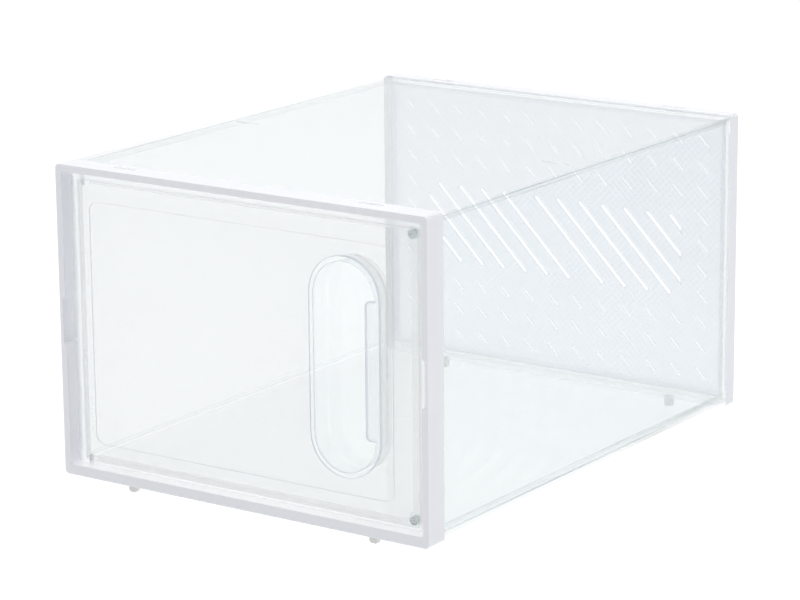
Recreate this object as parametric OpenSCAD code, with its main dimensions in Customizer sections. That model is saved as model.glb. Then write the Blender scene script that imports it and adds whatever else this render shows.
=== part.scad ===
// Clear stacking shoe box: two white end frames, five clear panels between them, and a clear
// door that hinges on its left side and is held shut by two pairs of disc magnets.
// Millimetres. The front faces -Y, Z is up, and the origin is under the middle of the box,
// at the level of the four stacking pegs' feet.

/* [Box] */
// Width of both frames
box_w = 250; // [236:1:300]
// Depth from the front lip to the back of the rear frame
box_d = 330; // [300:1:400]
// Height of the frames, without the stacking pegs
box_h = 180; // [178:1:220]
// Thickness of the clear panels
panel_t = 2; // [1.8:0.1:2.2]

/* [Frames] */
// Outer corner radius of the frames
frame_r = 2.5; // [1:0.5:4]
// Wall of a frame at its sides and top
wall_t = 4; // [4:0.5:5]
// Wall of a frame at its bottom
floor_t = 6; // [6:0.5:7]
// Depth of the front frame
front_d = 15; // [15:1:20]
// Depth of the rear frame
rear_d = 10; // [10:1:12]
// How far the door's face lies behind the front lip
recess_d = 8; // [6:0.5:9]
// Height of the finger notches in the two uprights
notch_h = 26.5; // [10:0.5:40]
// Depth of the finger notches into the wall
notch_d = 2; // [1:0.25:2.5]

/* [Door] */
// Thickness of the door's rim
rim_t = 3; // [3:0.1:3.4]
// How much the door's field is set back from its rim
field_step = 0.8; // [0.4:0.1:1]
// Clear gap between the door's edges and the frame
door_gap = 0.4; // [0.3:0.1:0.6]
// Width of the finger recess
recess_w = 39.8; // [34:0.2:44]
// Height of the finger recess
recess_h = 116.4; // [90:0.2:124]
// Depth of the finger recess behind the rim's face
recess_deep = 12.2; // [8:0.2:14]
// Height of the grip tab over the recess
grip_h = 77; // [50:1:80]
// How far the grip tab reaches over the recess
grip_w = 6.3; // [4:0.1:8]

/* [Hinge and magnets] */
// Radius of the hinge pins
pin_r = 1.1; // [1:0.05:1.2]
// Radial clearance of a pin in the frame
pin_play = 0.05; // [0.03:0.01:0.08]
// Radius of the disc magnets
magnet_r = 2.5; // [2.2:0.1:3]
// Thickness of the disc magnets
magnet_t = 2; // [1.5:0.1:2]

/* [Stacking] */
// Distance of the slots and pegs from the middle
stack_x = 83; // [60:1:100]
// Length of a stacking slot
slot_len = 16; // [12:0.5:18]
// Width of a stacking slot
slot_w = 3.2; // [3:0.1:3.4]
// Width of a stacking peg
peg_w = 5.5; // [4:0.5:10]
// Height of a stacking peg
peg_h = 6.5; // [4:0.5:7]

/* [Back panel] */
// Spacing of the diagonal vents
vent_pitch = 16; // [12:1:20]
// Width of a vent
vent_w = 3; // [2:0.2:4]
// Width of the band that the vents fill
vent_band_w = 184; // [120:1:200]
// Height of the band that the vents fill
vent_band_h = 50; // [30:1:60]
// Spacing of the dashes across
dash_dx = 17.6; // [15:0.1:19]
// Spacing of the dashes up
dash_dz = 16; // [14:0.5:17.5]
// Length of a dash
dash_len = 10; // [6:0.5:12]

/* [Hidden] */
$fn = 48;

// Depths below are counted from the front lip, and heights from the frames' underside.
half_w = box_w / 2;
middle_z = box_h / 2;
rear_y = box_d - rear_d;
panel_l = rear_y - front_d;
eps = 0.01;

// The opening inside the lip
open_side = half_w - wall_t;
open_top = box_h - wall_t;
open_r = 1.5;

// The clear panels' outer faces
side_inset = 0.2;
top_inset = 0.7;
bottom_inset = 3.5;
side_out = half_w - side_inset;
side_in = side_out - panel_t;
top_out = box_h - top_inset;
top_in = top_out - panel_t;
bottom_out = bottom_inset;
bottom_in = bottom_out + panel_t;

// The tongues at the panels' ends, and the grooves that they slide into
tongue_t = 1.2;
tongue_l = 2.5;
groove_play = 0.1;
tongue_margin = 12;

// Ribs along the panels' edges
rib_w = 3;
rib_t = 1.5;
rib_in = side_in - groove_play - rib_t;

// The door, which sits in the frame's ledge flush with its face
door_left = -half_w + 9.1;
door_right = half_w - 11.7;
door_bottom = 7.4;
door_top = box_h - 9.4;
door_y = recess_d;
door_back = door_y + rim_t;
door_r = 2;
hinge_gap = 1;
field_t = rim_t - field_step;
field_left = door_left + 7.7;
field_right = door_right - 16.2;
field_bottom = door_bottom + 11;
field_top = door_top - 11.6;
field_r = 6;

// The stop flange behind the door
stop_y = door_back + 0.4;
stop_t = 2;
stop_right = half_w - 17.7;
stop_bottom = 9.7;
stop_top = box_h - 11.8;
stop_r = 2;
relief_right = door_left + 5.9;
relief_r = 1;

// The finger recess
recess_x = half_w - 59.1;
recess_z = (door_top + door_bottom) / 2;
recess_wall = 1.6;
collar_w = 3.3;
collar_h = 0.6;
skin_t = 2;
grip_r = 3;

// The hinge line
pin_x = door_left + 2.5;
pin_y = door_y + rim_t / 2;
pin_in_door = 3;
pin_in_frame = 3.6;
pin_l = pin_in_door + door_gap + pin_in_frame;

// The magnets
magnet_x = door_right - 4.1;
magnet_z_bottom = door_bottom + 3.3;
magnet_z_top = door_top - 3.3;
pocket_play = 0.05;
magnet_inset = 0.1;
boss_r = 5;
boss_t = 3.2;

// Stacking slots and pegs
front_slot_y = 10;
rear_slot_y = box_d - 5;
slot_deep = 7.5;
peg_t = 2.8;
peg_r = 1.6;

// The rear frame's flange, which the back panel lies against
back_y = rear_y + 1;
flange_t = 2;
flange_w = 3.5;
back_play = 0.4;

// The raised dashes
dash_w = 1.3;
dash_rise = 0.6;
dash_cols = 6;
dash_rows = 5;
vents_each_side = 7;
vent_first = 0.75 * vent_pitch;

// The crescent press tabs on the top panel
tab_x = 107;
tab_y = 0.46 * box_d;
tab_r = 20;
tab_angle = 26;
tab_w = 1.2;
tab_rise = 0.5;

white = [0.90, 0.90, 0.92];
clear = [0.90, 0.96, 0.97, 0.35];
bluish = [0.80, 0.85, 0.93, 0.45];
nickel = [0.75, 0.77, 0.78];
steel = [0.60, 0.61, 0.63];

// Moves depths from the front lip and heights from the frames' underside to the part's frame.
module in_box() {
    translate([0, -box_d / 2, peg_h]) children();
}

// Extrudes an X-Z outline from depth y0 to depth y1.
module deep(y0, y1) {
    translate([0, y1, 0])
        rotate([90, 0, 0])
            linear_extrude(y1 - y0) children();
}

// A rectangle given by its sides, with round corners.
module round_rect(left, right, bottom, top, r) {
    w = right - left;
    h = top - bottom;
    translate([left, bottom]) {
        translate([r, 0]) square([w - 2 * r, h]);
        translate([0, r]) square([w, h - 2 * r]);
        for (x = [r, w - r], y = [r, h - r]) {
            translate([x, y]) circle(r);
        }
    }
}

// A stadium centred on the origin, l long along X and w wide.
module stadium(l, w) {
    square([l - w, w], center = true);
    for (side = [-1, 1]) {
        translate([side * (l - w) / 2, 0]) circle(w / 2);
    }
}

module frame_outline() {
    round_rect(-half_w, half_w, 0, box_h, frame_r);
}

module lip_opening() {
    round_rect(-open_side, open_side, floor_t, open_top, open_r);
}

// The grooves for the four panels' tongues, cut l deep from depth y.
module tongue_grooves(y, l) {
    w = tongue_t + 2 * groove_play;
    long_x = 2 * (half_w - tongue_margin + groove_play);
    long_z = box_h - 2 * (tongue_margin - groove_play);
    for (side = [-1, 1]) {
        translate([side * (side_in + tongue_t / 2), y + l / 2, middle_z])
            cube([w, l, long_z], center = true);
    }
    for (z = [top_in + tongue_t / 2, bottom_out + tongue_t / 2]) {
        translate([0, y + l / 2, z]) cube([long_x, l, w], center = true);
    }
}

module stacking_slots(y) {
    for (side = [-1, 1]) {
        translate([side * stack_x, y, box_h - slot_deep])
            linear_extrude(slot_deep + eps) stadium(slot_len, slot_w);
    }
}

module stacking_pegs(y) {
    for (side = [-1, 1]) {
        translate([side * stack_x, 0, 0])
            deep(y - peg_t / 2, y + peg_t / 2)
                round_rect(-peg_w / 2, peg_w / 2, -peg_h, peg_r, peg_r);
    }
}

// The recess that the door lies in, as tall as the door plus its gaps.
module door_opening(right, r) {
    round_rect(door_left - hinge_gap, right, door_bottom - door_gap, door_top + door_gap, r);
}

// The way into the box. It is as tall as the door beside the hinge, where the door's edge swings in.
module stop_opening() {
    round_rect(door_left - hinge_gap, stop_right, stop_bottom, stop_top, stop_r);
    door_opening(relief_right, relief_r);
}

module front_frame() {
    color(white) in_box() difference() {
        union() {
            deep(0, front_d) difference() {
                frame_outline();
                lip_opening();
            }
            deep(recess_d, stop_y) difference() {
                frame_outline();
                door_opening(door_right + door_gap, door_r);
            }
            deep(stop_y, stop_y + stop_t) difference() {
                frame_outline();
                stop_opening();
            }
            deep(stop_y, stop_y + boss_t) for (z = [magnet_z_bottom, magnet_z_top]) {
                translate([magnet_x, z]) circle(boss_r);
            }
            stacking_pegs(front_slot_y);
        }
        for (side = [-1, 1]) {
            translate([side * (open_side + notch_d / 2 - eps), recess_d / 2 - eps, middle_z])
                cube([notch_d + 2 * eps, recess_d + 2 * eps, notch_h], center = true);
        }
        stacking_slots(front_slot_y);
        tongue_grooves(front_d - tongue_l - groove_play, tongue_l + groove_play + eps);
        for (z = [door_bottom - door_gap - pin_in_frame - groove_play, door_top + door_gap]) {
            translate([pin_x, pin_y, z])
                cylinder(r = pin_r + pin_play, h = pin_in_frame + groove_play);
        }
        for (z = [magnet_z_bottom, magnet_z_top]) {
            translate([magnet_x, stop_y - eps, z])
                rotate([-90, 0, 0])
                    cylinder(r = magnet_r + pocket_play, h = magnet_t + magnet_inset + eps);
        }
    }
}

module rear_frame() {
    color(white) in_box() difference() {
        union() {
            deep(rear_y, box_d) difference() {
                frame_outline();
                lip_opening();
            }
            deep(back_y + panel_t, back_y + panel_t + flange_t) difference() {
                frame_outline();
                round_rect(-open_side + flange_w, open_side - flange_w,
                           floor_t + flange_w, open_top - flange_w, open_r);
            }
            stacking_pegs(rear_slot_y);
        }
        stacking_slots(rear_slot_y);
        tongue_grooves(rear_y - eps, tongue_l + groove_play + eps);
    }
}

// A tongue at each end of a plate that is w wide, flush with its underside.
module end_tongues(w) {
    for (y = [front_d - tongue_l, rear_y]) {
        translate([-w / 2, y, 0]) cube([w, tongue_l, tongue_t]);
    }
}

// Low ribs across both ends of a plate, on top of it.
module end_ribs(w) {
    for (y = [front_d, rear_y - rib_w]) {
        translate([-w / 2, y, 0]) cube([w, rib_w, rib_t]);
    }
}

// The top or bottom plate seen from inside: two ribs along it hold the side panels.
module flat_plate() {
    translate([-side_out, front_d, 0]) cube([2 * side_out, panel_l, panel_t]);
    for (x = [-rib_in - rib_t, rib_in]) {
        translate([x, front_d, panel_t]) cube([rib_t, panel_l, rib_w]);
    }
    translate([0, 0, panel_t]) end_ribs(2 * rib_in);
}

// One crescent ridge, whose lowest point lies on the X axis.
module press_tab() {
    translate([0, tab_r, 0]) rotate([0, 0, 270 - tab_angle])
        rotate_extrude(angle = 2 * tab_angle)
            translate([tab_r - tab_w / 2, 0]) square([tab_w, tab_rise]);
}

module top_panel() {
    color(clear) in_box() {
        translate([0, 0, top_out]) mirror([0, 0, 1]) flat_plate();
        translate([0, 0, top_in]) end_tongues(2 * (half_w - tongue_margin));
        for (side = [-1, 1]) {
            translate([side * tab_x, tab_y, top_out - eps]) press_tab();
        }
    }
}

module bottom_panel() {
    color(clear) in_box() {
        translate([0, 0, bottom_out]) flat_plate();
        translate([0, 0, bottom_out]) end_tongues(2 * (half_w - tongue_margin));
    }
}

module side_panel() {
    h = top_in - bottom_in;
    rib_h = h - 2 * (rib_w + groove_play);
    translate([side_in, front_d, bottom_in]) cube([panel_t, panel_l, h]);
    translate([side_in, 0, middle_z])
        rotate([0, 90, 0]) end_tongues(box_h - 2 * tongue_margin);
    translate([side_in, 0, (top_in + bottom_in) / 2])
        rotate([0, -90, 0]) end_ribs(rib_h);
}

module right_panel() {
    color(clear) in_box() side_panel();
}

module left_panel() {
    color(clear) in_box() mirror([1, 0, 0]) side_panel();
}

// One diagonal bar that falls to the right, crossing height 0 at x.
module diagonal(x, l, w) {
    translate([x, 0]) rotate(-45) stadium(l, w);
}

module vents() {
    intersection() {
        square([vent_band_w, vent_band_h], center = true);
        for (side = [-1, 1], i = [0 : vents_each_side - 1]) {
            diagonal(side * (vent_first + i * vent_pitch), vent_band_h * sqrt(2), vent_w);
        }
    }
}

// True where a dash stands clear of the vents.
function dash_shown(x, z) =
    abs(z) > vent_band_h / 2 + dash_len / 3 || abs(x) > vent_band_w / 2 + dash_len / 3;

module dashes() {
    for (i = [-dash_cols : dash_cols], j = [-dash_rows : dash_rows - 1]) {
        x = i * dash_dx;
        z = (j + 0.5) * dash_dz;
        if (dash_shown(x, z)) {
            translate([x, z]) diagonal(0, dash_len, dash_w);
        }
    }
}

module back_panel() {
    color(bluish) in_box() {
        deep(back_y, back_y + panel_t) difference() {
            round_rect(-open_side + back_play, open_side - back_play,
                       floor_t + back_play, open_top - back_play, open_r);
            translate([0, middle_z]) vents();
        }
        deep(back_y + panel_t - eps, back_y + panel_t + dash_rise)
            translate([0, middle_z]) dashes();
    }
}

// The recess seen from the front, grown by g all round.
module recess_outline(g) {
    translate([recess_x, recess_z])
        rotate(90) stadium(recess_h + 2 * g, recess_w + 2 * g);
}

// What is left open in the door's skin: the recess less the grip tab.
module recess_mouth() {
    right = recess_x + recess_w / 2;
    difference() {
        recess_outline(0);
        round_rect(right - grip_w, right + grip_w, recess_z - grip_h / 2,
                   recess_z + grip_h / 2, grip_r);
    }
}

module door() {
    floor_y = door_y + recess_deep;
    color(clear) in_box() difference() {
        union() {
            deep(door_y, door_back)
                round_rect(door_left, door_right, door_bottom, door_top, door_r);
            deep(door_y - collar_h, door_back) recess_outline(collar_w);
            deep(door_y + skin_t, floor_y + recess_wall) recess_outline(recess_wall);
        }
        deep(door_y - eps, door_y + field_step) difference() {
            round_rect(field_left, field_right, field_bottom, field_top, field_r);
            recess_outline(collar_w);
        }
        deep(door_y - collar_h - eps, floor_y) recess_mouth();
        deep(door_y + skin_t, floor_y) recess_outline(0);
        for (z = [magnet_z_bottom, magnet_z_top]) {
            translate([magnet_x, door_back - magnet_t - magnet_inset, z])
                rotate([-90, 0, 0])
                    cylinder(r = magnet_r + pocket_play, h = magnet_t + magnet_inset + eps);
        }
        for (z = [door_bottom - eps, door_top - pin_in_door]) {
            translate([pin_x, pin_y, z]) cylinder(r = pin_r, h = pin_in_door + eps);
        }
    }
}

module hinge_pin(z) {
    color(steel) in_box()
        translate([pin_x, pin_y, z]) cylinder(r = pin_r, h = pin_l);
}

module hinge_pin_top() {
    hinge_pin(door_top - pin_in_door);
}

module hinge_pin_bottom() {
    hinge_pin(door_bottom + pin_in_door - pin_l);
}

module magnet(y, z) {
    color(nickel) in_box()
        translate([magnet_x, y, z]) rotate([-90, 0, 0]) cylinder(r = magnet_r, h = magnet_t);
}

module door_magnet_top() {
    magnet(door_back - magnet_t - magnet_inset, magnet_z_top);
}

module door_magnet_bottom() {
    magnet(door_back - magnet_t - magnet_inset, magnet_z_bottom);
}

module frame_magnet_top() {
    magnet(stop_y + magnet_inset, magnet_z_top);
}

module frame_magnet_bottom() {
    magnet(stop_y + magnet_inset, magnet_z_bottom);
}

front_frame();
rear_frame();
top_panel();
bottom_panel();
left_panel();
right_panel();
back_panel();
door();
hinge_pin_top();
hinge_pin_bottom();
door_magnet_top();
door_magnet_bottom();
frame_magnet_top();
frame_magnet_bottom();
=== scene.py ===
"""Looks of a clear stacking shoe box: two white end frames, clear panels and a moulded clear door."""

import math

import bmesh
import bpy
from mathutils import Matrix, Vector


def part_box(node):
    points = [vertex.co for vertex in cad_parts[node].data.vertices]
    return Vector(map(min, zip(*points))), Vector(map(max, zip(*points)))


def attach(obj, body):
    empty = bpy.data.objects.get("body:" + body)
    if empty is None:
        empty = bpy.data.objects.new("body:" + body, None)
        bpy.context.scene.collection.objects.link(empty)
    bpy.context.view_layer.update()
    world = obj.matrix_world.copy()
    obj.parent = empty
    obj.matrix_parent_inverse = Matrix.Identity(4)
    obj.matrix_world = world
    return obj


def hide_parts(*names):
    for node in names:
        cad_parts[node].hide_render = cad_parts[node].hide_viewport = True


MM = 0.001

# The camera looks at a point near the middle of the box.
CAMERA_TARGET = Vector((-0.0050, -0.0023, 0.0897))
CAMERA_DISTANCE = 1.9116
CAMERA_AZIMUTH = math.radians(34.71)
CAMERA_ELEVATION = math.radians(14.31)
CAMERA_ROLL = math.radians(-0.49)
CAMERA_LENS = 147.6

# Roundings of the moulded edges
FRAME_ROUND = 0.35 * MM
SHEET_ROUND = 0.3 * MM
BACK_ROUND = 0.15 * MM
DOOR_ROUND = 0.35 * MM
PAN_ROUND = 1.1 * MM
DISC_ROUND = 0.3 * MM

# Only edges sharper than this, between faces larger than this in square metres, are rounded
SHARP_ANGLE = math.radians(25)
TINY_AREA = 1e-9

# Corners closer than this are one corner, and faces flatter to each other than this are one face
WELD_DISTANCE = 1e-6
FLAT_ANGLE = math.radians(0.5)

# A face this close to a plane lies on it
NEAR = 0.1 * MM

# How far the ledge for the door lies behind the front lip, and the frames' outer skin
LIP_DEPTH = 8 * MM
SKIN_DEPTH = 0.5 * MM

# The stacking pegs and the panels' tongues
PEG_HEIGHT = 6.5 * MM
TONGUE_LENGTH = 2.5 * MM

# Depths behind the door's foremost point: just past the edges of the recess's mouth, just past
# the field's face, just short of the grip tab's back, and the plate's back itself
MOUTH_DEPTH = 0.5 * MM
FIELD_DEPTH = 1.5 * MM
TAB_DEPTH = 2.5 * MM
PLATE_DEPTH = 3.6 * MM

# The field's step lies further inside the door's outline than this
STEP_MARGIN = 5 * MM

# The rounded edges of the recess's pan lie closer to its back than this
PAN_EDGE = 2 * MM

# Faces left of this place and below it make up the joint of two panels
JOINT_CORNER = Vector((-0.118, 0, 0.016))

# The rings on a magnet's faces, and the dimple in their middle
MAGNET_RING = 0.8 * MM
MAGNET_FACE = 0.9 * MM
DIMPLE_EDGE = 0.1 * MM
DIMPLE_DEPTH = 0.3 * MM

# How much a clear sheet's haze varies, and what share it mirrors head on and at grazing angles
HAZE_SPREAD = 0.08
HAZE_ROUGHNESS = 0.35
GLOSS_ROUGHNESS = 0.08
MIRROR_HEAD_ON = 0.035
MIRROR_GRAZING = 0.75

# The lattice on the back panel, how pale its ridges are, and the share of haze added between
# two heights, which is painted shade towards the top of the back panel
LATTICE_PITCH = 4.4 * MM
LATTICE_PALE = 0.65
UPPER_SHADE_SHARE = 0.35
UPPER_SHADE_FROM = 0.05
UPPER_SHADE_TO = 0.14

# The floor's half width, how far it lies below the box's feet, and its own light
FLOOR_SIZE = 6.0
FLOOR_DROP = 0.2 * MM
FLOOR_GLOW = 0.90

# The soft light above the box
LIGHT_SIZE = 1.6
LIGHT_POWER = 15.0
LIGHT_PLACE = (0.1, -0.1, 1.8)
LIGHT_TILT = math.radians(4)

# The room's brightness at both ends of Y and of X, and the directions between which it changes
ROOM_ALONG = (0.40, 1.2, -0.7, 0.9)
ROOM_ACROSS = (1.05, 0.75, -0.8, 0.8)

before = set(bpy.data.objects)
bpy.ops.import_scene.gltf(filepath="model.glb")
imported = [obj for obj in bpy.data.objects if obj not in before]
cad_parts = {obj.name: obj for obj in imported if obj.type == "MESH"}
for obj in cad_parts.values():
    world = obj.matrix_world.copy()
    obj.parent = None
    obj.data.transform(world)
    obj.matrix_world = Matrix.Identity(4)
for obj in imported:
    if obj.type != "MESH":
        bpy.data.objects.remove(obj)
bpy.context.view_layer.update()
scene = bpy.context.scene


# ---------------------------------------------------------------- shader helpers


def new_material(name):
    """An empty node material and its output's surface socket."""
    material = bpy.data.materials.new(name)
    material.use_nodes = True
    tree = material.node_tree
    tree.nodes.clear()
    output = tree.nodes.new("ShaderNodeOutputMaterial")
    return material, tree, output.inputs["Surface"]


def feed(tree, value, socket):
    """Links an output to a socket, or sets the socket to a constant."""
    if isinstance(value, bpy.types.NodeSocket):
        tree.links.new(value, socket)
    else:
        socket.default_value = value


def object_coords(tree):
    return tree.nodes.new("ShaderNodeTexCoord").outputs["Object"]


def noise(tree, coords, scale, detail=2.0):
    node = tree.nodes.new("ShaderNodeTexNoise")
    node.inputs["Scale"].default_value = scale
    node.inputs["Detail"].default_value = detail
    tree.links.new(coords, node.inputs["Vector"])
    return node.outputs["Fac"]


def spread(tree, value, low, high, from_low=0.3, from_high=0.7):
    """Maps the middle of a 0 to 1 value onto low to high."""
    node = tree.nodes.new("ShaderNodeMapRange")
    node.inputs["From Min"].default_value = from_low
    node.inputs["From Max"].default_value = from_high
    node.inputs["To Min"].default_value = low
    node.inputs["To Max"].default_value = high
    tree.links.new(value, node.inputs["Value"])
    return node.outputs["Result"]


def maths(tree, operation, first, second=None):
    node = tree.nodes.new("ShaderNodeMath")
    node.operation = operation
    for socket, value in zip(node.inputs, (first, second)):
        if value is not None:
            feed(tree, value, socket)
    return node.outputs["Value"]


def mix_colours(tree, factor, low, high):
    node = tree.nodes.new("ShaderNodeMix")
    node.data_type = "RGBA"
    tree.links.new(factor, node.inputs["Factor"])
    node.inputs["A"].default_value = (*low, 1)
    node.inputs["B"].default_value = (*high, 1)
    return node.outputs["Result"]


def mix_shaders(tree, factor, first, second):
    node = tree.nodes.new("ShaderNodeMixShader")
    feed(tree, factor, node.inputs["Fac"])
    tree.links.new(first, node.inputs[1])
    tree.links.new(second, node.inputs[2])
    return node.outputs["Shader"]


def bump(tree, height, strength, distance):
    node = tree.nodes.new("ShaderNodeBump")
    node.inputs["Strength"].default_value = strength
    node.inputs["Distance"].default_value = distance
    tree.links.new(height, node.inputs["Height"])
    return node.outputs["Normal"]


def transparent(tree, tint):
    node = tree.nodes.new("ShaderNodeBsdfTransparent")
    node.inputs["Color"].default_value = (*tint, 1)
    return node.outputs["BSDF"]


def translucent(tree, colour):
    node = tree.nodes.new("ShaderNodeBsdfTranslucent")
    feed(tree, colour, node.inputs["Color"])
    return node.outputs["BSDF"]


def principled(tree, roughness, normal=None, **settings):
    """A Principled shader. The settings are its inputs' names, each with an output or a constant."""
    node = tree.nodes.new("ShaderNodeBsdfPrincipled")
    feed(tree, roughness, node.inputs["Roughness"])
    if normal is not None:
        tree.links.new(normal, node.inputs["Normal"])
    for name, value in settings.items():
        feed(tree, value, node.inputs[name.replace("_", " ")])
    return node.outputs["BSDF"]


def mirror_share(tree, head_on, grazing):
    """How much a clear face mirrors, the same from both of its sides."""
    weight = tree.nodes.new("ShaderNodeLayerWeight")
    weight.inputs["Blend"].default_value = 0.5
    rise = maths(tree, "POWER", weight.outputs["Facing"], 5.0)
    return spread(tree, rise, head_on, grazing, 0.0, 1.0)


# ---------------------------------------------------------------- materials


def white_plastic(name, low, high, glow=0.0, clear=0.0):
    """Moulded white polypropylene with a satin grain. Thin walls glow and are a little clear."""
    material, tree, surface = new_material(name)
    coords = object_coords(tree)
    cloud = noise(tree, coords, 14, 3)
    grain = noise(tree, coords, 2600, 2)
    colour = mix_colours(tree, cloud, low, high)
    roughness = spread(tree, noise(tree, coords, 90, 4), 0.32, 0.44)
    body = principled(
        tree,
        roughness,
        bump(tree, grain, 0.12, 0.05 * MM),
        Base_Color=colour,
        IOR=1.49,
        Subsurface_Weight=0.0 if glow else 0.25,
        Subsurface_Radius=(1.0, 1.0, 1.1),
        Subsurface_Scale=2.5 * MM,
    )
    if glow:
        body = mix_shaders(tree, glow, body, translucent(tree, colour))
        body = mix_shaders(tree, clear, body, transparent(tree, (1, 1, 1)))
    tree.links.new(body, surface)
    return material


def clear_plastic(name, tint, haze, haze_colour, shine=1.0, lattice_and_upper_shade=False):
    """Clear sheet: tinted see-through, a milky haze that varies, and a smooth gloss."""
    material, tree, surface = new_material(name)
    coords = object_coords(tree)
    cloud = noise(tree, coords, 9, 1)
    ripple = noise(tree, coords, 30, 0)
    share = spread(tree, cloud, haze * (1 - HAZE_SPREAD), haze * (1 + HAZE_SPREAD), 0.0, 1.0)
    colour = (*haze_colour, 1)
    if lattice_and_upper_shade:
        pale = tuple((1 - LATTICE_PALE) * c + LATTICE_PALE for c in haze_colour)
        colour = mix_colours(tree, lattice_ridges(tree, coords), haze_colour, pale)
        # Painted shade: more haze towards the top of the back panel.
        share = maths(tree, "ADD", share, upper_painted_shade(tree, coords, haze))
    normal = bump(tree, ripple, 0.25, 0.2 * MM)
    cloudy = principled(tree, HAZE_ROUGHNESS, normal, Base_Color=colour, IOR=1.2)
    milk = mix_shaders(tree, 0.5, cloudy, translucent(tree, colour))
    body = mix_shaders(tree, share, transparent(tree, tint), milk)
    gloss = tree.nodes.new("ShaderNodeBsdfGlossy")
    gloss.inputs["Roughness"].default_value = GLOSS_ROUGHNESS
    tree.links.new(normal, gloss.inputs["Normal"])
    mirrored = mirror_share(tree, MIRROR_HEAD_ON * shine, MIRROR_GRAZING * shine)
    tree.links.new(mix_shaders(tree, mirrored, body, gloss.outputs["BSDF"]), surface)
    return material


def upper_painted_shade(tree, coords, haze):
    """More haze in the upper part of the back panel: painted shade."""
    split = tree.nodes.new("ShaderNodeSeparateXYZ")
    tree.links.new(coords, split.inputs["Vector"])
    return spread(tree, split.outputs["Z"], 0.0, UPPER_SHADE_SHARE * haze, UPPER_SHADE_FROM, UPPER_SHADE_TO)


def lattice_ridges(tree, coords):
    """Fine ridges along both diagonals of the X-Z plane, 0 between them and 1 on them."""
    split = tree.nodes.new("ShaderNodeSeparateXYZ")
    tree.links.new(coords, split.inputs["Vector"])
    x, z = split.outputs["X"], split.outputs["Z"]
    lines = []
    for operation in ("ADD", "SUBTRACT"):
        across = maths(tree, operation, x, z)
        wave = maths(tree, "SINE", maths(tree, "MULTIPLY", across, math.tau / LATTICE_PITCH))
        lines.append(spread(tree, wave, 0.0, 1.0, 0.6, 1.0))
    return maths(tree, "MAXIMUM", lines[0], lines[1])


def metal(name, low, high, roughness, metallic):
    """Plated or ground metal with fine streaks."""
    material, tree, surface = new_material(name)
    streaks = noise(tree, object_coords(tree), 1800, 2)
    shade = mix_colours(tree, streaks, low, high)
    rough = spread(tree, streaks, roughness * 0.7, roughness * 1.3)
    tree.links.new(principled(tree, rough, Base_Color=shade, Metallic=metallic), surface)
    return material


# ---------------------------------------------------------------- mesh helpers


def cleaned(node):
    """A bmesh of a CAD node with its triangles joined into flat faces."""
    bm = bmesh.new()
    bm.from_mesh(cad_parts[node].data)
    bmesh.ops.remove_doubles(bm, verts=bm.verts, dist=WELD_DISTANCE)
    bmesh.ops.dissolve_limit(bm, angle_limit=FLAT_ANGLE, verts=bm.verts, edges=bm.edges)
    return bm


def sharp_edges(bm, keep=lambda edge: True):
    """The edges to round: the sharp ones between faces of some size, or those of them that keep picks."""
    return [
        e
        for e in bm.edges
        if len(e.link_faces) == 2
        and min(f.calc_area() for f in e.link_faces) > TINY_AREA
        and e.calc_face_angle() > SHARP_ANGLE
        and keep(e)
    ]


def round_edges(bm, edges, width, segments=3, slot=-1):
    """Rounds edges. Each call narrows all of its own edges to what the tightest one allows."""
    bmesh.ops.bevel(
        bm,
        geom=edges,
        offset=width,
        offset_type="OFFSET",
        segments=segments,
        profile=0.5,
        affect="EDGES",
        clamp_overlap=True,
        material=slot,
    )


def finish_piece(bm, name, body, node, materials):
    """Turns the bmesh into a shown piece that stands for a CAD node."""
    mesh = bpy.data.meshes.new(name)
    bmesh.ops.recalc_face_normals(bm, faces=bm.faces)
    bm.to_mesh(mesh)
    bm.free()
    mesh.polygons.foreach_set("use_smooth", [True] * len(mesh.polygons))
    for material in materials:
        mesh.materials.append(material)
    piece = bpy.data.objects.new(name, mesh)
    scene.collection.objects.link(piece)
    weighted = piece.modifiers.new("weighted_normals", "WEIGHTED_NORMAL")
    weighted.keep_sharp = True
    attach(piece, body)
    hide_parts(node)


# ---------------------------------------------------------------- pieces


def inside(point, low, high, depth):
    """True for a point more than depth below the sides, top and bottom of a box."""
    return low.x + depth < point.x < high.x - depth and low.z + depth < point.z < high.z - depth


def frame_slot(face, low, high, is_front):
    """Which of a frame's materials a face gets: 0 solid, 1 thin, 2 lip or 3 peg. Thin and lip are paler
    copies of the plastic, which is painted light; peg is a darker copy, painted shade.
    """
    middle = face.calc_center_bounds()
    # Pegs get a darker copy of the plastic: painted shade under the box.
    if middle.z < low.z - NEAR:
        return 3
    first = low.y + LIP_DEPTH if is_front else low.y
    last = high.y if is_front else high.y - MM
    is_inner = inside(middle, low, high, SKIN_DEPTH)
    # Lip walls, the rear frame's rear face, the inner walls and the underside get paler copies of the
    # plastic: painted light besides their real glow.
    if is_inner and abs(face.normal.y) < 0.5 and middle.y < first:
        return 2
    if not is_front and face.normal.y > 0.5 and middle.y > high.y - NEAR:
        return 2
    if is_inner and first - NEAR < middle.y < last + NEAR:
        return 1
    is_under = face.normal.z < -0.5 and middle.z < low.z + NEAR
    return 1 if is_under else 0


def make_frames(solid, thin, lip, peg):
    """Both frames. The walls inside them are thin, so they pass some of the light behind them. These
    walls, the lip walls, the underside and the rear face get paler copies of the plastic, which is
    painted light, and the pegs a darker copy, which is painted shade.
    """
    for node in ("front_frame", "rear_frame"):
        bm = cleaned(node)
        low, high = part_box(node)
        low.z += PEG_HEIGHT
        for face in bm.faces:
            face.material_index = frame_slot(face, low, high, node == "front_frame")
        round_edges(bm, sharp_edges(bm), FRAME_ROUND)
        finish_piece(bm, node + "_moulding", "box", node, [solid, thin, lip, peg])


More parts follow.
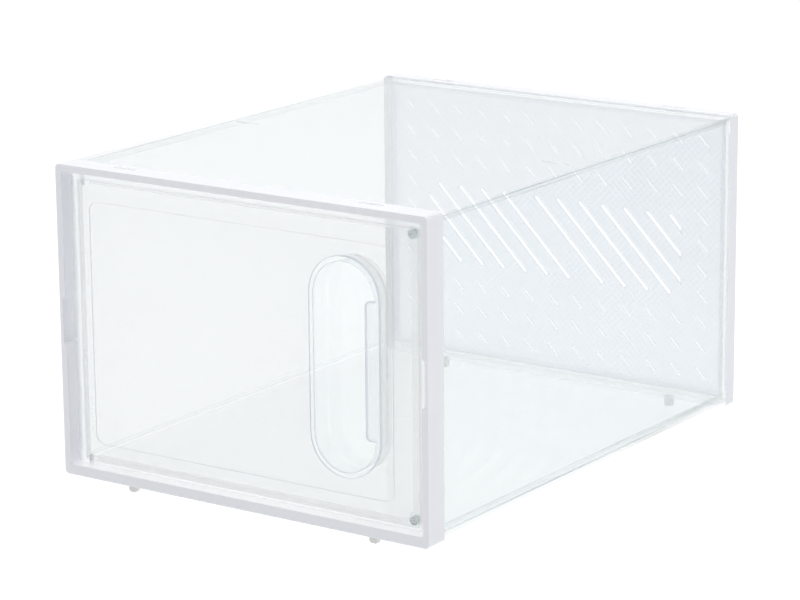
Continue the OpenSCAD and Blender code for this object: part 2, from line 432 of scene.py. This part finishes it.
def make_panels(sheet, edge, joint):
    """The clear panels. Their ends lie in the frames, where the touching faces hardly show."""
    for node in ("top_panel", "bottom_panel", "left_panel", "right_panel"):
        bm = cleaned(node)
        low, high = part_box(node)
        first = low.y + TONGUE_LENGTH + NEAR
        last = high.y - TONGUE_LENGTH - NEAR
        for face in bm.faces:
            middle = face.calc_center_bounds()
            is_joint = middle.x < JOINT_CORNER.x and middle.z < JOINT_CORNER.z
            face.material_index = 0 if first < middle.y < last and not is_joint else 2
        # The rounded long edges get a darker, hazier copy of the clear plastic: painted shade in place of
        # refraction.
        long_edges = sharp_edges(bm, lambda e: all(f.material_index == 0 for f in e.link_faces))
        round_edges(bm, long_edges, SHEET_ROUND, 2, slot=1)
        finish_piece(bm, node + "_sheet", "box", node, [sheet, edge, joint])


def back_slot(face, low, high):
    """Which of the back's materials a face gets: 0 front, 1 vent wall, 2 dash or 3 rear."""
    middle = face.calc_center_bounds()
    if middle.y > high.y - NEAR:
        return 2
    # Walls of the vents and dashes get a whiter, hazier copy: painted light.
    if abs(face.normal.y) < 0.5 and inside(middle, low, high, MM):
        return 1
    return 3 if face.normal.y > 0.5 else 0


def make_back(sheet, wall, dash, texture_and_shade):
    """The vented back. Its rear face is textured, with painted shade towards its top; the raised dashes
    on it are clear.
    """
    bm = cleaned("back_panel")
    low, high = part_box("back_panel")
    for face in bm.faces:
        face.material_index = back_slot(face, low, high)
    round_edges(bm, sharp_edges(bm), BACK_ROUND, 1)
    finish_piece(bm, "back_panel_sheet", "box", "back_panel", [sheet, wall, dash, texture_and_shade])


def door_slot(face, low, high):
    """Which of the door's materials a face gets: 0 plate, 1 line or 2 recess and its collar."""
    middle = face.calc_center_bounds()
    behind = middle.y - low.y
    is_wall = abs(face.normal.y) < 0.5
    # The step's walls get the line copy: painted shade in place of refraction.
    if is_wall and behind < FIELD_DEPTH and inside(middle, low, high, STEP_MARGIN):
        return 1
    on_plate = NEAR < behind < TAB_DEPTH or abs(behind - PLATE_DEPTH) < NEAR
    return 0 if on_plate else 2


def make_door(sheet, line, pan, mouth):
    """The door. Its raised lines get darker, hazier copies of the clear plastic, those of the recess's
    mouth most: painted shade that stands in for refraction at these edges.
    """
    bm = cleaned("door")
    low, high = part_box("door")

    def front(edge):
        return min(v.co.y for v in edge.verts) - low.y

    def back(edge):
        return max(v.co.y for v in edge.verts) - low.y

    def on_pan(edge):
        return front(edge) > high.y - low.y - PAN_EDGE

    def on_mouth(edge):
        return back(edge) < MOUTH_DEPTH

    def on_step(edge):
        is_within = all(inside(v.co, low, high, STEP_MARGIN) for v in edge.verts)
        return back(edge) < FIELD_DEPTH and is_within

    def on_plate(edge):
        return front(edge) < PLATE_DEPTH - MM and not on_step(edge)

    for face in bm.faces:
        face.material_index = door_slot(face, low, high)
    round_edges(bm, sharp_edges(bm, on_pan), PAN_ROUND, 4, slot=2)
    round_edges(bm, sharp_edges(bm, on_mouth), DOOR_ROUND, 2, slot=3)
    round_edges(bm, sharp_edges(bm, on_step), DOOR_ROUND, 2, slot=1)
    round_edges(bm, sharp_edges(bm, on_plate), DOOR_ROUND, 2, slot=1)
    finish_piece(bm, "door_moulding", "door_leaf", "door", [sheet, line, pan, mouth])


def make_pins(steel):
    """The two hinge pins, which stay in the door."""
    for node in ("hinge_pin_top", "hinge_pin_bottom"):
        bm = cleaned(node)
        round_edges(bm, sharp_edges(bm), DISC_ROUND, 3)
        finish_piece(bm, node + "_turned", "door_leaf", node, [steel])


def make_magnets(nickel, rim, dark):
    """Discs with a bright middle, a darker ring around it and a dark dimple in its centre. The ring's and
    the dimple's darkness is painted shade.
    """
    for place in ("top", "bottom"):
        for side, body in (("door", "door_leaf"), ("frame", "box")):
            node = f"{side}_magnet_{place}"
            bm = cleaned(node)
            round_edges(bm, sharp_edges(bm), DISC_ROUND, 3)
            for face in bm.faces:
                face.material_index = 1
            flats = [f for f in bm.faces if len(f.verts) > 8]
            for face in flats:
                bmesh.ops.inset_region(bm, faces=[face], thickness=MAGNET_RING, use_even_offset=True)
                face.material_index = 0
                bmesh.ops.inset_region(bm, faces=[face], thickness=MAGNET_FACE, use_even_offset=True)
                bmesh.ops.inset_region(bm, faces=[face], thickness=DIMPLE_EDGE, depth=-DIMPLE_DEPTH)
                face.material_index = 2
            finish_piece(bm, node + "_turned", body, node, [nickel, rim, dark])


# ---------------------------------------------------------------- stage


def make_camera():
    """The camera, turned about the box from straight in front of the door."""
    data = bpy.data.cameras.new("camera")
    data.sensor_width = 36.0
    data.lens = CAMERA_LENS
    data.clip_start = 0.05
    data.clip_end = 30.0
    camera = bpy.data.objects.new("camera", data)
    scene.collection.objects.link(camera)
    flat = math.cos(CAMERA_ELEVATION)
    back = Vector(
        (math.sin(CAMERA_AZIMUTH) * flat, -math.cos(CAMERA_AZIMUTH) * flat, math.sin(CAMERA_ELEVATION))
    )
    camera.location = CAMERA_TARGET + CAMERA_DISTANCE * back
    aim = (-back).to_track_quat("-Z", "Y").to_matrix() @ Matrix.Rotation(CAMERA_ROLL, 3, "Z")
    camera.rotation_mode = "QUATERNION"
    camera.rotation_quaternion = aim.to_quaternion()
    scene.camera = camera


def make_floor():
    """A plain pale floor that glows, so that it stays as bright as the room around it."""
    material, tree, surface = new_material("floor")
    speckle = noise(tree, object_coords(tree), 40, 2)
    shade = mix_colours(tree, speckle, (0.2, 0.2, 0.2), (0.21, 0.21, 0.21))
    paint = principled(tree, 0.9, Base_Color=shade)
    glow = tree.nodes.new("ShaderNodeEmission")
    glow.inputs["Strength"].default_value = FLOOR_GLOW
    both = tree.nodes.new("ShaderNodeAddShader")
    tree.links.new(paint, both.inputs[0])
    tree.links.new(glow.outputs["Emission"], both.inputs[1])
    tree.links.new(both.outputs["Shader"], surface)
    mesh = bpy.data.meshes.new("floor")
    corners = [(x * FLOOR_SIZE, y * FLOOR_SIZE, 0) for x, y in ((-1, -1), (1, -1), (1, 1), (-1, 1))]
    mesh.from_pydata(corners, [], [(0, 1, 2, 3)])
    mesh.materials.append(material)
    floor = bpy.data.objects.new("floor", mesh)
    scene.collection.objects.link(floor)
    floor.location.z = -FLOOR_DROP


def make_world():
    """A white room, dimmer on the side of the door and on its right."""
    world = bpy.data.worlds.new("studio")
    world.use_nodes = True
    scene.world = world
    tree = world.node_tree
    tree.nodes.clear()
    direction = tree.nodes.new("ShaderNodeTexCoord").outputs["Generated"]
    split = tree.nodes.new("ShaderNodeSeparateXYZ")
    tree.links.new(direction, split.inputs["Vector"])
    along = spread(tree, split.outputs["Y"], *ROOM_ALONG)
    across = spread(tree, split.outputs["X"], *ROOM_ACROSS)
    strength = maths(tree, "MULTIPLY", along, across)
    background = tree.nodes.new("ShaderNodeBackground")
    background.inputs["Color"].default_value = (0.985, 0.99, 1.0, 1)
    tree.links.new(strength, background.inputs["Strength"])
    output = tree.nodes.new("ShaderNodeOutputWorld")
    tree.links.new(background.outputs["Background"], output.inputs["Surface"])


def make_lights():
    """One large soft light above the box."""
    data = bpy.data.lights.new("softbox_top", "AREA")
    data.shape = "SQUARE"
    data.size = LIGHT_SIZE
    data.energy = LIGHT_POWER
    light = bpy.data.objects.new("softbox_top", data)
    light.location = LIGHT_PLACE
    light.rotation_euler = (LIGHT_TILT, 0, 0)
    scene.collection.objects.link(light)


make_camera()
make_floor()
make_world()
make_lights()
scene.view_settings.view_transform = "Standard"
scene.cycles.transparent_max_bounces = 40
scene.cycles.diffuse_bounces = 10

white = white_plastic("white_plastic", (0.82, 0.83, 0.87), (0.84, 0.85, 0.89))
# The lip and thin copies are paler than the outer skin's plastic: painted light, on top of the light
# their thin walls really pass.
lip = white_plastic("white_plastic_lip_painted_light", (0.965, 0.97, 0.985), (0.975, 0.98, 0.99), 0.4, 0.3)
thin = white_plastic("white_plastic_thin_painted_light", (0.975, 0.98, 0.985), (0.985, 0.988, 0.992), 0.6, 0.7)
# A darker copy of the plastic for the pegs: painted shade under the box.
peg = white_plastic("white_plastic_peg_painted_shade", (0.66, 0.66, 0.64), (0.70, 0.70, 0.68))
panel = clear_plastic("clear_panel_sheet", (0.990, 0.997, 0.997), 0.10, (0.89, 0.93, 0.935))
# A darker, hazier copy for the panels' rounded edges: painted shade in place of refraction.
panel_edge = clear_plastic("clear_panel_edge_painted_shade", (0.985, 0.995, 0.995), 0.14, (0.87, 0.92, 0.925))
joint = clear_plastic("clear_joint", (0.992, 0.996, 0.996), 0.06, (0.91, 0.94, 0.945), shine=0.0)
door_sheet = clear_plastic("clear_door_sheet", (0.99, 0.992, 0.99), 0.21, (0.90, 0.905, 0.90))
# Darker, hazier copies for the door's lines and the recess's mouth: painted shade in place of refraction
# at the edges.
door_line = clear_plastic("clear_door_line_painted_shade", (0.86, 0.87, 0.91), 0.38, (0.70, 0.72, 0.79))
door_pan = clear_plastic("clear_door_pan", (0.985, 0.99, 0.992), 0.10, (0.90, 0.93, 0.94))
door_mouth = clear_plastic("clear_door_mouth_painted_shade", (0.86, 0.91, 0.93), 0.45, (0.60, 0.65, 0.74))
back_sheet = clear_plastic("clear_back_sheet", (0.98, 0.99, 0.998), 0.10, (0.76, 0.79, 0.865))
# The back's textured face, with painted shade added towards its top.
back_texture_and_shade = clear_plastic(
    "clear_back_texture_and_shade", (0.98, 0.985, 0.998), 0.42, (0.74, 0.775, 0.86), lattice_and_upper_shade=True
)
# A whiter, hazier copy for the walls of the vents and dashes: painted light caught by the walls.
back_edge = clear_plastic("clear_back_edge_painted_light", (0.96, 0.97, 0.99), 0.5, (0.88, 0.90, 0.94))
back_dash = clear_plastic("clear_back_dash", (1.0, 1.0, 1.0), 0.04, (0.985, 0.99, 1.0))
nickel = metal("nickel", (0.92, 0.965, 0.975), (0.955, 0.985, 0.99), 0.35, 0.15)
# Darker copies for the magnets' ring and dimple: painted shade.
rim = metal("magnet_rim_painted_shade", (0.74, 0.83, 0.84), (0.80, 0.88, 0.89), 0.4, 0.2)
dark = metal("magnet_dimple_painted_shade", (0.28, 0.34, 0.35), (0.34, 0.40, 0.41), 0.4, 0.2)
steel = metal("steel", (0.86, 0.885, 0.90), (0.90, 0.92, 0.93), 0.45, 0.15)

make_frames(white, thin, lip, peg)
make_panels(panel, panel_edge, joint)
make_back(back_sheet, back_edge, back_dash, back_texture_and_shade)
make_door(door_sheet, door_line, door_pan, door_mouth)
make_pins(steel)
make_magnets(nickel, rim, dark)
